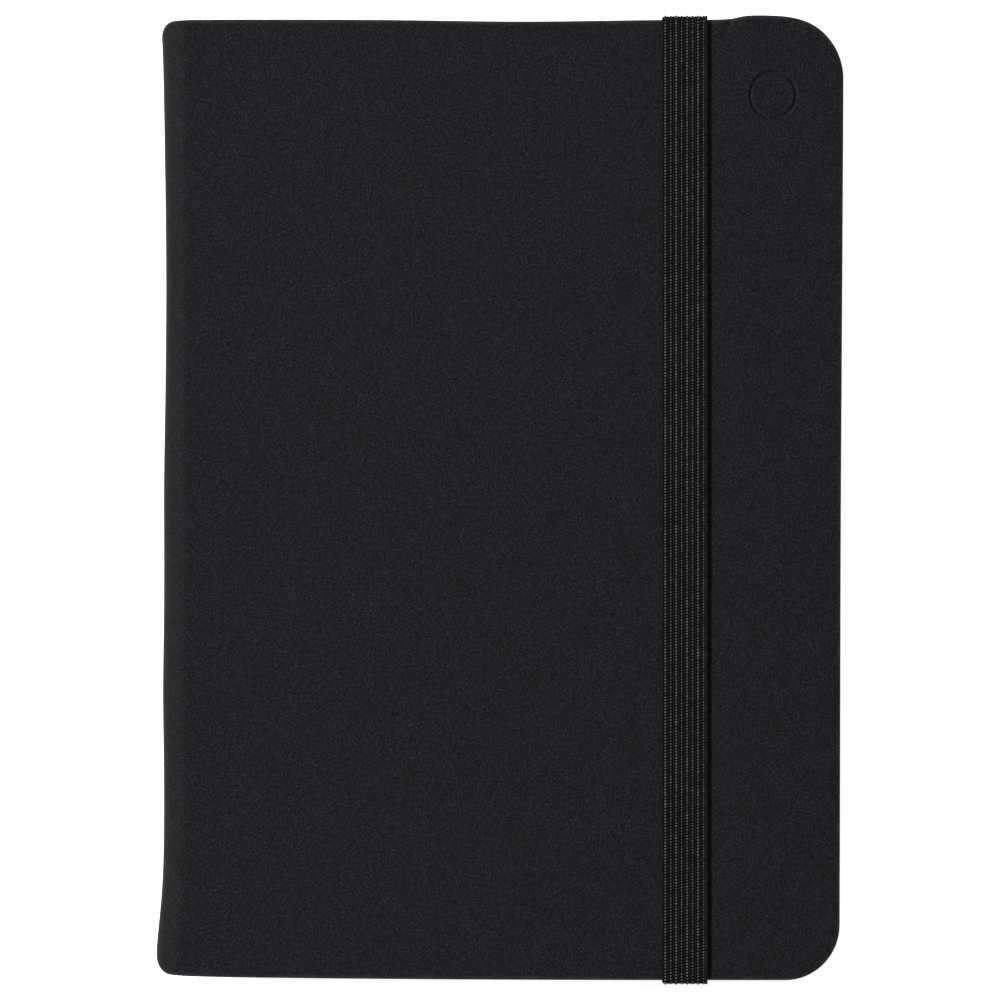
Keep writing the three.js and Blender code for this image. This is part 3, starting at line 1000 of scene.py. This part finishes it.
def band_base(path, outward, sizes):
    """The ribbed strip under the stitches. outward is +1 with the outside on the left of the path."""
    width = BAND_WIDTH - 2 * SIDE_MARGIN
    outer = rib_profile(width, BAND_THICKNESS * (BAND_BASE - 0.5), sizes.ribs)
    inner = [(x, -0.3 * BAND_THICKNESS, 0.0) for x, _, _ in outer[::-1]]
    profile = outer + inner
    line, normals = left_normals(path)
    sections = []
    for point, normal in zip(line, normals * outward):
        sections.append([(BAND_X + x, *(point + normal * h)) for x, h, _ in profile])
    vertices, faces = tube(sections)
    if outward < 0:
        faces = [face[::-1] for face in faces]
    return vertices, faces, [painted_light for _, _, painted_light in profile] * len(sections)


def stitch(centre, length, width, yaw, sides=4, girths=(1.0, 1.0)):
    """One small spindle of yarn, lying along Y and turned by yaw about Z, with one ring for each girth."""
    cosine, sine = math.cos(yaw), math.sin(yaw)

    def place(x, y, z):
        return (centre[0] + x * cosine - y * sine, centre[1] + x * sine + y * cosine, centre[2] + z)

    rings = len(girths)
    vertices = [place(0, -length / 2, -0.3 * width)]
    for ring, girth in enumerate(girths):
        y = (ring / (rings - 1) - 0.5) * length * 0.55
        for i in range(sides):
            a = 2 * math.pi * (i + 0.5) / sides
            vertices.append(place(math.cos(a) * girth * width / 2, y, math.sin(a) * girth * width / 2))
    vertices.append(place(0, length / 2, -0.3 * width))
    faces = [(0, 1 + (i + 1) % sides, 1 + i) for i in range(sides)]
    for ring in range(rings - 1):
        a, b = 1 + ring * sides, 1 + (ring + 1) * sides
        faces += [(a + i, a + (i + 1) % sides, b + (i + 1) % sides, b + i) for i in range(sides)]
    last = 1 + (rings - 1) * sides
    faces += [(last + sides, last + i, last + (i + 1) % sides) for i in range(sides)]
    return vertices, faces


def stitch_course(sizes, material):
    """One course across the band: a bead of yarn on each rib, and slanted stitches in the furrows between."""
    rib = (BAND_WIDTH - 2 * SIDE_MARGIN - EDGE_WIDTH) / sizes.ribs
    level = BAND_THICKNESS * (BAND_BASE - 0.5)
    pitch = sizes.pitch
    made = []
    for i in range(sizes.ribs):
        x = -BAND_WIDTH / 2 + SIDE_MARGIN + (i + 0.5) * rib
        kind = i % 2
        lean = -1 if kind else 1
        place = (x, 0.3 * pitch * (i % 3 - 1), level + RIB_HEIGHT + (0.0 if kind else 0.03) * MM)
        bead = stitch(place, BEAD_LENGTH * pitch, BEAD_WIDTHS[kind], BEAD_TURNS[kind], 5, BEAD_GIRTHS)
        made.append((bead, BEAD_PAINTED_LIGHT[kind]))
        for shift in (0.1, 0.6):
            along = (shift + 0.37 * i) % 1 - 0.5
            if i < sizes.ribs - 1:
                place = (x + rib / 2, along * pitch, level + 0.035 * MM)
                made.append((stitch(place, SLANT_LENGTH, SLANT_WIDTH, SLANT_TURN * lean), SLANT_PAINTED_LIGHT))
    x = BAND_WIDTH / 2 - 0.22 * MM
    for along in (-0.25, 0.25):
        place = (x, along * pitch, level + 0.07 * MM)
        made.append((stitch(place, SELVAGE_LENGTH, SELVAGE_WIDTH, SELVAGE_TURN), SELVAGE_PAINTED_LIGHT))
    vertices, faces, painted_light = [], [], []
    for (points, stitch_faces), value in made:
        base = len(vertices)
        vertices += points
        faces += [tuple(base + i for i in face) for face in stitch_faces]
        # Each stitch carries its share of painted light; its two tips stay in painted shade.
        painted_light += [0.0] + [value] * (len(points) - 2) + [0.0]
    mesh = mesh_of("stitch_course", vertices, faces, material, 80)
    set_attribute(mesh, "painted_light", "FLOAT", painted_light)
    return link("stitch_course", mesh)


def path_curve(name, path):
    curve = bpy.data.curves.new(name, "CURVE")
    curve.dimensions = "3D"
    spline = curve.splines.new("POLY")
    spline.points.add(len(path) - 1)
    for point, (y, z) in zip(spline.points, path):
        point.co = (BAND_X, y, z, 1)
    return link(name, curve)


def course_tree():
    """Repeats one course of stitches along a path: Pitch apart, facing outwards, each a little different."""
    tree = bpy.data.node_groups.new("Stitches Along Path", "GeometryNodeTree")
    face = tree.interface
    face.new_socket("Geometry", in_out="INPUT", socket_type="NodeSocketGeometry")
    sockets = {}
    for label, kind, default in (
        ("Course", "NodeSocketObject", None),
        ("Pitch", "NodeSocketFloat", 0.46 * MM),
        ("Outward", "NodeSocketFloat", 1.0),
        ("Unevenness", "NodeSocketFloat", 0.1),
        ("Material", "NodeSocketMaterial", None),
    ):
        sockets[label] = face.new_socket(label, in_out="INPUT", socket_type=kind)
        if default is not None:
            sockets[label].default_value = default
    face.new_socket("Geometry", in_out="OUTPUT", socket_type="NodeSocketGeometry")

    def add(kind, inputs=None, **settings):
        return add_node(tree, kind, inputs, **settings)

    given = add("NodeGroupInput").outputs
    points = add(
        "GeometryNodeCurveToPoints", {"Curve": given["Geometry"], "Length": given["Pitch"]}, mode="LENGTH"
    )
    across = add("FunctionNodeInputVector", vector=(1.0, 0.0, 0.0)).outputs[0]
    outward = add(
        "ShaderNodeVectorMath", {0: across, 1: points.outputs["Tangent"]}, operation="CROSS_PRODUCT"
    ).outputs[0]
    signed = {0: outward, "Scale": given["Outward"]}
    outward = add("ShaderNodeVectorMath", signed, operation="SCALE").outputs[0]
    turned = add(
        "FunctionNodeAxesToRotation", {0: outward, 1: points.outputs["Tangent"]},
        primary_axis="Z", secondary_axis="Y",
    ).outputs[0]
    course = add("GeometryNodeObjectInfo", {"Object": given["Course"]}, transform_space="ORIGINAL")
    low = add("ShaderNodeMath", {0: 1.0, 1: given["Unevenness"]}, operation="SUBTRACT").outputs[0]
    high = add("ShaderNodeMath", {0: 1.0, 1: given["Unevenness"]}, operation="ADD").outputs[0]
    tall = add("FunctionNodeRandomValue", {2: low, 3: high, "Seed": SEED}, data_type="FLOAT").outputs[1]
    size = add("ShaderNodeCombineXYZ", {0: 1.0, 1: tall, 2: tall}).outputs[0]
    repeated = add(
        "GeometryNodeInstanceOnPoints",
        {
            "Points": points.outputs["Points"],
            "Instance": course.outputs["Geometry"],
            "Rotation": turned,
            "Scale": size,
        },
    )
    real = add("GeometryNodeRealizeInstances", {"Geometry": repeated.outputs[0]})
    dressed = add("GeometryNodeSetMaterial", {"Geometry": real.outputs[0], "Material": given["Material"]})
    tree.links.new(dressed.outputs[0], add("NodeGroupOutput").inputs[0])
    return tree, {label: socket.identifier for label, socket in sockets.items()}


def band_piece(name, path, outward, sizes, course, material):
    """A stretch of the band: its ribbed base with the stitches over it, as one plain mesh."""
    tree, inputs = course_tree()
    curve = path_curve(name + "_stitches", path)
    modifier = curve.modifiers.new("stitches", "NODES")
    modifier.node_group = tree
    modifier[inputs["Course"]] = course
    modifier[inputs["Pitch"]] = sizes.pitch
    modifier[inputs["Outward"]] = float(outward)
    modifier[inputs["Unevenness"]] = 0.09
    modifier[inputs["Material"]] = material
    graph = bpy.context.evaluated_depsgraph_get()
    stitches = bpy.data.meshes.new_from_object(curve.evaluated_get(graph))
    bpy.data.objects.remove(curve)

    vertices, faces, painted_light = band_base(path, outward, sizes)
    base = len(vertices)
    vertices += [tuple(v.co) for v in stitches.vertices]
    faces += [tuple(base + i for i in polygon.vertices) for polygon in stitches.polygons]
    painted_light += [point.value for point in stitches.attributes["painted_light"].data]
    bpy.data.meshes.remove(stitches)
    piece = link(name, mesh_of(name, vertices, faces, material, 60))
    set_attribute(piece.data, "painted_light", "FLOAT", painted_light)
    return piece


class NOTEBOOK_OT_band(bpy.types.Operator):
    """Makes the knitted elastic band: the strap that one draws off the cover, and its two fixed ends"""

    bl_idname = "notebook.band"
    bl_label = "Elastic Band"

    def execute(self, context):
        sizes = context.scene.notebook_band
        material = yarn_material(tuple(sizes.colour))
        course = stitch_course(sizes, material)
        half = BAND_THICKNESS / 2
        edge = STRAP_HIGH.y - half - HEAD_TUCK
        tail = edge + TAIL_REACH
        top = STRAP_HIGH.z - half - TOP_TUCK
        under = half + UNDER_LIFT
        meet = (LEG_HIGH.z + STRAP_LOW.z) / 2
        inside = LEG_LOW.z + BAND_THICKNESS + TAB_LIFT
        strap = band_piece(
            "band_front_strap", rounded_path([(-tail, meet), (-tail, top), (edge, top), (edge, meet)]),
            1, sizes, course, material,
        )
        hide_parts("band_strap")
        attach(strap, "band")
        for end, side in (("head", 1), ("tail", -1)):
            reach = edge if side > 0 else tail
            route = [(reach, meet), (reach, under), (SLOT_Y, under), (SLOT_Y, inside)]
            route.append((SLOT_Y - TAB_SHOWN, inside))
            path = rounded_path([(side * y, z) for y, z in route])
            leg = band_piece(f"band_{end}_end", path, side, sizes, course, material)
            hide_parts(f"band_{end}_leg")
            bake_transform(leg)
        bpy.data.objects.remove(course)
        return {"FINISHED"}


# ---- Stage ----

FLOOR_REACH = 3.0
WORLD_STRENGTH = 0.11
VIEW_CENTRE = (-0.45 * MM, -0.1 * MM)
LIGHTS = (
    # name, place, size, power
    ("key_left", (-0.97, 0.19, 0.83), 0.3, 24),
    ("fill_right", (0.9, -0.3, 0.5), 0.6, 2.3),
    ("fill_head", (0.1, 0.9, 1.0), 0.9, 1.6),
)


def area_light(name, place, size, power):
    """A round lamp that points at the notebook."""
    data = bpy.data.lights.new(name, "AREA")
    data.shape = "DISK"
    data.size = size
    data.energy = power
    light = link(name, data)
    light.location = place
    aim = -light.location.normalized()
    light.rotation_euler = aim.to_track_quat("-Z", "Y").to_euler()


class NOTEBOOK_OT_stage(bpy.types.Operator):
    """Makes the floor, the lights and the camera"""

    bl_idname = "notebook.stage"
    bl_label = "Stage"

    def execute(self, context):
        sizes = context.scene.notebook_stage
        n = Nodes("floor", 0.9)
        place = n.add("ShaderNodeTexCoord").outputs["Object"]
        tone = n.mix(n.noise(place, 30.0), scaled(tuple(sizes.floor), 0.98), tuple(sizes.floor))
        n.join(tone, "Base Color")
        n.join(tone, "Emission Color")
        n.shader.inputs["Emission Strength"].default_value = sizes.glow
        n.shader.inputs["Specular IOR Level"].default_value = 0.1
        corners = [(x * FLOOR_REACH, y * FLOOR_REACH, 0) for x, y in ((-1, -1), (1, -1), (1, 1), (-1, 1))]
        floor = link("floor", mesh_of("floor", corners, [(0, 1, 2, 3)], n.material))

        for light in LIGHTS:
            area_light(*light)
        world = bpy.data.worlds.new("studio")
        world.use_nodes = True
        background = world.node_tree.nodes["Background"]
        background.inputs["Color"].default_value = (1, 1, 1, 1)
        background.inputs["Strength"].default_value = WORLD_STRENGTH
        context.scene.world = world
        context.scene.view_settings.view_transform = "Standard"

        data = bpy.data.cameras.new("camera")
        data.sensor_width = 36.0
        data.lens = data.sensor_width * sizes.camera_distance / sizes.view_width
        data.clip_end = 20.0
        camera = link("camera", data)
        camera.location = (*VIEW_CENTRE, FRONT_HIGH.z + sizes.camera_distance)
        context.scene.camera = camera
        return {"FINISHED"}


class NOTEBOOK_PT_panel(bpy.types.Panel):
    """The notebook's sizes, colours and pieces"""

    bl_idname = "NOTEBOOK_PT_panel"
    bl_label = "Pocket Notebook"
    bl_space_type = "VIEW_3D"
    bl_region_type = "UI"
    bl_category = "Notebook"

    def draw(self, context):
        layout = self.layout
        for group, operators in PIECES:
            box = layout.box()
            sizes = getattr(context.scene, group)
            for name in sizes.__annotations__:
                box.prop(sizes, name)
            for operator in operators:
                box.operator(operator)


PIECES = (
    ("notebook_cover", ("notebook.cover",)),
    ("notebook_pages", ("notebook.leaves", "notebook.endpapers", "notebook.binding")),
    ("notebook_band", ("notebook.band",)),
    ("notebook_stage", ("notebook.stage",)),
)
SIZE_GROUPS = {
    "notebook_cover": NotebookCoverSizes,
    "notebook_pages": NotebookPageSizes,
    "notebook_band": NotebookBandSizes,
    "notebook_stage": NotebookStageSizes,
}
CLASSES = (
    *SIZE_GROUPS.values(),
    NOTEBOOK_OT_cover,
    NOTEBOOK_OT_leaves,
    NOTEBOOK_OT_endpapers,
    NOTEBOOK_OT_binding,
    NOTEBOOK_OT_band,
    NOTEBOOK_OT_stage,
    NOTEBOOK_PT_panel,
)


def register():
    for cls in CLASSES:
        bpy.utils.register_class(cls)
    for name, group in SIZE_GROUPS.items():
        setattr(bpy.types.Scene, name, bpy.props.PointerProperty(type=group))


def unregister():
    for name in SIZE_GROUPS:
        delattr(bpy.types.Scene, name)
    for cls in reversed(CLASSES):
        bpy.utils.unregister_class(cls)


def main():
    register()
    for _, operators in PIECES:
        for operator in operators:
            category, name = operator.split(".")
            getattr(getattr(bpy.ops, category), name)()


if __name__ == "__main__":
    main()
